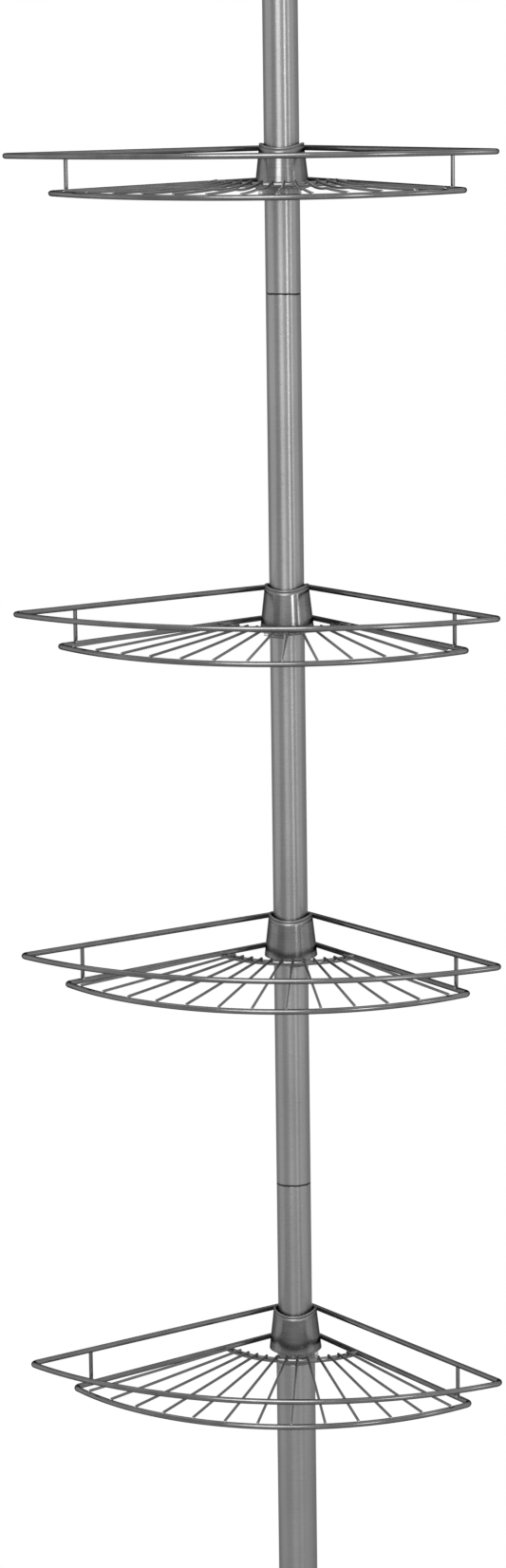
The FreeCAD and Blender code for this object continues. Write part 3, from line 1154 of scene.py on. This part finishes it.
# %% Two posts
POST_WIRE, POST_SET_BACK, POST_SINK = 2.5, 8.0, 0.9
post_run = floor_plan.side_length - POST_SET_BACK
post_foot = (floor_plan.tangent + rail_plan.tangent) / 2 + floor_plan.along * post_run
floor_fall = post_foot.y * math.tan(math.radians(FLOOR_SLOPE))
post_low = floor_fall - FLOOR_DROP + POST_SINK
post = wire_start(
    "posts", (post_foot.x, post_foot.y, post_low), (0, 0, 1), POST_WIRE, sides=14
)
wire_run((0, 0, -POST_SINK - post_low))
wire_cut(post, POST_WIRE)
modify(post, "MIRROR", merge_threshold=1e-5)
print("posts stand %.1f mm from the middle" % abs(post_foot.x))
spread(settle(post), "wire_metal", plated_wire, "posts")

# %% [markdown]
# ## Weld beads
#
# Wherever two wires cross they are welded, and a little metal squeezes out. At this size a
# bead is a few bright flecks, but without beads the wires seem to float on each other. A
# boolean union would melt them together, but can fail on so many thin crossings. So one
# bead is turned as a small button, and copies of it are stretched to fit each weld.

# %% One bead
bead = turned("bead", [
    (0, -0.55),
    (0.6, -0.46),
    (0.93, -0.2),
    (0.93, 0.2),
    (0.6, 0.46),
    (0, 0.55),
], steps=10)
settle(bead, crease=80)


def bead_at(place, length, width, height, heading):
    """Copy the bead to a weld, stretched along the wire's heading in degrees."""
    take(bead)
    bpy.ops.object.duplicate(linked=False)
    copy = bpy.context.object
    edit(copy)
    bpy.ops.transform.resize(value=(length, width, height), center_override=(0, 0, 0))
    turn(heading, "Z")
    bpy.ops.transform.translate(value=Vector(place) * MM)
    start_fresh()
    return copy


def joined(pieces):
    """Join pieces into the first of them."""
    take(pieces[0])
    for piece in pieces:
        piece.select_set(True)
    bpy.ops.object.join()
    return bpy.context.object


# %% [markdown]
# The floor's beads are laid flat and sloped with the floor: one at each end of a spoke, one
# where the throat wire meets each side wire, and one where each side wire touches the
# collar. Length, width and height are factors of the button above.

# %% Beads of the floor
SPOKE_WELDS = (
    (THROAT, 1.5, (1.2, 1.25, 0.8)),
    (SPOKE_OUT + 0.2, 1.6, (0.85, 0.9, 1.0)),
)
FLOOR_TOUCH, RAIL_TOUCH = 16.9, 14.6

floor_beads = []
for index in range(SPOKE_COUNT):
    angle = -WIDEST + 2 * WIDEST * index / (SPOKE_COUNT - 1)
    out = Vector((math.sin(math.radians(angle)), -math.cos(math.radians(angle)), 0))
    for distance, height, size in SPOKE_WELDS:
        place = floor_plan.centre + out * distance + Vector((0, 0, height))
        floor_beads.append(bead_at(place, *size, angle - 90))
contact = floor_plan.outward * FLOOR_TOUCH
for side in (-1, 1):
    along_wire = 90 + side * 45
    joint = (side * abs(meeting.x), meeting.y, 0.6)
    floor_beads.append(bead_at(joint, 2.4, 1.9, 1.7, along_wire))
    touch = (side * abs(contact.x), contact.y, 0)
    floor_beads.append(bead_at(touch, 3.0, 1.0, 1.9, along_wire))
beads = slope_floor(joined(floor_beads))

# %% Beads of the posts and the rail
upper_beads = []
contact = rail_plan.outward * RAIL_TOUCH
for side in (-1, 1):
    for height in (-1.55, post_low + 0.65):
        place = (side * abs(post_foot.x), post_foot.y, height)
        upper_beads.append(bead_at(place, 1.65, 1.65, 0.9, 0))
    touch = (side * abs(contact.x), contact.y, -0.3)
    upper_beads.append(bead_at(touch, 2.6, 0.9, 1.6, 90 + side * 45))
beads = joined([beads, *upper_beads])
beads.name = beads.data.name = "welds"
take(bead)
bpy.ops.object.delete()
spread(settle(beads, crease=80), "wire_metal", weld_bead, "welds")

# %% [markdown]
# ## The wedge sleeves
#
# A sleeve comes in two halves of milky plastic that close on the tube when the collar
# drops over them. The outline has the straight skirt that shows below the collar and the
# cone inside it. A half is swept through 175 degrees, which leaves a slot on each side.
# The finger tab is pulled out of the skirt's own faces, since a block set against them
# would show a seam that a moulding hasn't. Everything is rounded last.

# %% Two halves
SLEEVE_BORE, SLEEVE_TOP, SLEEVE_PLAY = 11.35, -4.5, 0.3
SKIRT, SKIRT_FOOT, TAB_TOP = 12.2, -30.0, -25.4


def sleeve_half(name, foot, start):
    """Half a sleeve, its skirt ending at foot."""
    return turned(name, [
        (SLEEVE_BORE, foot),
        (SKIRT, foot),
        (SKIRT, TAB_TOP),
        (SKIRT, COLLAR_FOOT),
        (collar_bore(COLLAR_FOOT) - SLEEVE_PLAY, COLLAR_FOOT),
        (collar_bore(SLEEVE_TOP) - SLEEVE_PLAY, SLEEVE_TOP),
        (SLEEVE_BORE, SLEEVE_TOP),
    ], steps=50, sweep=175.0, start=start)


# %% Pull out the tab and round both halves
TAB_HALF_WIDTH, TAB_OUT, TAB_END = 2.8, 2.4, (-14.65, 0, -27.7)
PLAIN_RISE = 1.8

tabbed = sleeve_half("tabbed", SKIRT_FOOT, 92.5)
edit(tabbed)
pick(
    "FACE",
    lambda at: at.x < -11.7
    and abs(at.y) < TAB_HALF_WIDTH
    and SKIRT_FOOT + 0.1 < at.z < TAB_TOP,
)
bpy.ops.mesh.extrude_region_move(
    TRANSFORM_OT_translate={"value": Vector((-TAB_OUT, 0, 0)) * MM}
)
bpy.ops.transform.resize(value=(0, 0.92, 0.9), center_override=Vector(TAB_END) * MM)
plain = sleeve_half("plain", SKIRT_FOOT + PLAIN_RISE, 272.5)
for half in (tabbed, plain):
    modify(
        half,
        "BEVEL",
        width=0.16 * MM,
        segments=3,
        limit_method="ANGLE",
        angle_limit=math.radians(30),
    )
    settle(half)

# %% [markdown]
# The tab lies on the left on the two upper baskets and on the right on the two lower ones,
# just as the sleeves happened to be put on.

# %% Four sleeves
for number, height in zip(BASKETS, RAILS):
    for half, part in ((tabbed, "tabbed"), (plain, "plain")):
        node = "wedge_%d_%s" % (number, part)
        twin = copied(half, node + "_moulded", height, half_turn=number > 2)
        hand_over(twin, "wedge_%d" % number, "wedge_plastic", milky_plastic, node)
for half in (tabbed, plain):
    take(half)
    bpy.ops.object.delete()
print("eight sleeve halves")

# %% [markdown]
# ## Floor and surroundings
#
# The floor is one wide pale disc. Lamps strong enough to turn it white would burn out the
# object. So where it is seen, it glows plain white away from the pole, and near the pole
# half of that gives way to lit paint, which keeps a shadow.

# %% Floor
def seen(tree):
    """In a node tree, 1 where a ray comes from the camera, a reflection or glass."""
    path = tree.nodes.new("ShaderNodeLightPath")
    camera, glossy, glass = [
        Shade(path.outputs[name])
        for name in ("Is Camera Ray", "Is Glossy Ray", "Is Transmission Ray")
    ]
    return camera + glossy + glass


FLOOR_RADIUS = 40
NEAR_POLE, FAR_FROM_POLE = 0.30, 1.00
GLOW_NEAR_POLE = 0.50

start_fresh()
bpy.ops.mesh.primitive_circle_add(vertices=128, radius=FLOOR_RADIUS, fill_type="NGON")
floor = bpy.context.object
floor.name = "studio_floor"
floor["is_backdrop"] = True

floor_paint = bpy.data.materials.new("floor_paint")
floor_paint.use_nodes = True
tree = floor_paint.node_tree
place = Shade(tree.nodes.new("ShaderNodeTexCoord").outputs["Object"])
paint = place.node("ShaderNodeBsdfDiffuse", {"Color": (0.9, 0.9, 0.9, 1)})
white = place.node("ShaderNodeEmission", {"Color": (1, 1, 1, 1), "Strength": 1.0})
away = step(off_axis(place), NEAR_POLE, FAR_FROM_POLE)
glow = seen(tree) * (GLOW_NEAR_POLE + away * (1 - GLOW_NEAR_POLE))
mixed = place.node("ShaderNodeMixShader", {0: glow, 1: paint, 2: white})
tree.links.new(mixed.socket, tree.nodes["Material Output"].inputs["Surface"])
floor.data.materials.append(floor_paint)

# %% [markdown]
# A world that lit the object as brightly as it looks would wash out every shadow. So its
# strength is 1, white, only where a ray comes from the camera, a reflection or glass, and
# a tenth of that as a lamp.

# %% World
WORLD_AS_LAMP = 0.10
world = bpy.data.worlds.new("studio")
bpy.context.scene.world = world
world.use_nodes = True
background = world.node_tree.nodes["Background"]
background.inputs["Color"].default_value = (1, 1, 1, 1)
level = WORLD_AS_LAMP + seen(world.node_tree) * (1 - WORLD_AS_LAMP)
world.node_tree.links.new(level.socket, background.inputs["Strength"])

# %% [markdown]
# ## Lamps
#
# All lamps are soft ovals, whose reflections fade at their edges. The key lamp stands over
# the viewer's left shoulder: it draws the bright core along the front wires and the broad
# sheen down the pole. A big one overhead lights the wires from above, and wide faint panels
# in front and at the sides fill in. Two narrow upright ones to the right draw the pole's
# long streaks. Each lamp's power is worked out from how bright its face looks, with white
# paper as 1, and together they light a grey card about as it is.

# %% How a lamp is made and placed
VIEWER_SIDE = -81.05


def lamp(name, place, aim, width, height, glow):
    """A soft oval lamp that faces a point."""
    light = bpy.data.lights.new(name, "AREA")
    light.shape = "ELLIPSE"
    light.size, light.size_y = width, height
    light.energy = glow * math.pi * (math.pi / 4 * width * height)
    stand = bpy.data.objects.new(name, light)
    bpy.context.scene.collection.objects.link(stand)
    stand.location = place
    stand.rotation_euler = (Vector(aim) - Vector(place)).to_track_quat("-Z", "Y").to_euler()
    stand.visible_camera = False
    print("%s gives %.0f W" % (name, light.energy))


def around(azimuth, distance, height):
    """A place round the pole: azimuth 0 is the viewer's side, positive to the right."""
    angle = math.radians(VIEWER_SIDE + azimuth)
    return (distance * math.cos(angle), distance * math.sin(angle), height)


# %% Eight lamps
lamp("key", around(-15, 2.7, 2.9), (0, 0, 1.1), 1.8, 2.4, 7.0)
lamp("overhead", (0, 0.3, 3.4), (0, 0.3, 0), 4.0, 4.0, 0.6)
lamp("front_panel", around(15, 2.6, 1.45), (0, 0, 1.45), 6.0, 1.5, 0.65)
lamp("right_panel", around(74, 2.5, 1.2), (0, 0, 1.2), 2.2, 2.6, 0.5)
lamp("left_panel", around(-88, 2.5, 1.2), (0, 0, 1.2), 2.6, 2.6, 0.5)
lamp("low_panel", around(25, 1.2, 0.46), (0, 0, 0.46), 2.4, 0.90, 0.15)
lamp("streak", around(27.0, 2.5, 1.46), (0, 0, 1.46), 0.44, 0.80, 9.0)
lamp("second_streak", around(53.5, 2.5, 1.46), (0, 0, 1.46), 0.26, 0.80, 5.0)

# %% [markdown]
# ## Camera
#
# The camera stands a little to the right at chest height and looks down by ten degrees,
# through a long lens. Its matrix is put together from the heading, the dip and the roll.

# %% Camera
VIEWER = (0.395, -2.508, 1.4536)
HEADING, DIP, ROLL = 9.471, 10.287, -0.763

camera_data = bpy.data.cameras.new("viewer")
camera_data.sensor_fit = "AUTO"
camera_data.sensor_width = 36.0
camera_data.lens = 92.51
camera_data.clip_end = 200.0
camera = bpy.data.objects.new("viewer", camera_data)
bpy.context.scene.collection.objects.link(camera)
camera.matrix_world = (
    Matrix.Translation(VIEWER)
    @ Matrix.Rotation(math.radians(HEADING), 4, "Z")
    @ Matrix.Rotation(math.radians(90 - DIP), 4, "X")
    @ Matrix.Rotation(math.radians(ROLL), 4, "Z")
)
bpy.context.scene.camera = camera
bpy.context.scene.view_settings.view_transform = "Standard"

# %% [markdown]
# ## Measure and finish
#
# The looks must not change the size, so both boxes are written down next to each other.

# %% Sizes
seen_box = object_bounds()
for name, box in (("construction", cad_box), ("visual", seen_box)):
    print(name, ["%.4f to %.4f" % (box[0][axis], box[1][axis]) for axis in range(3)])
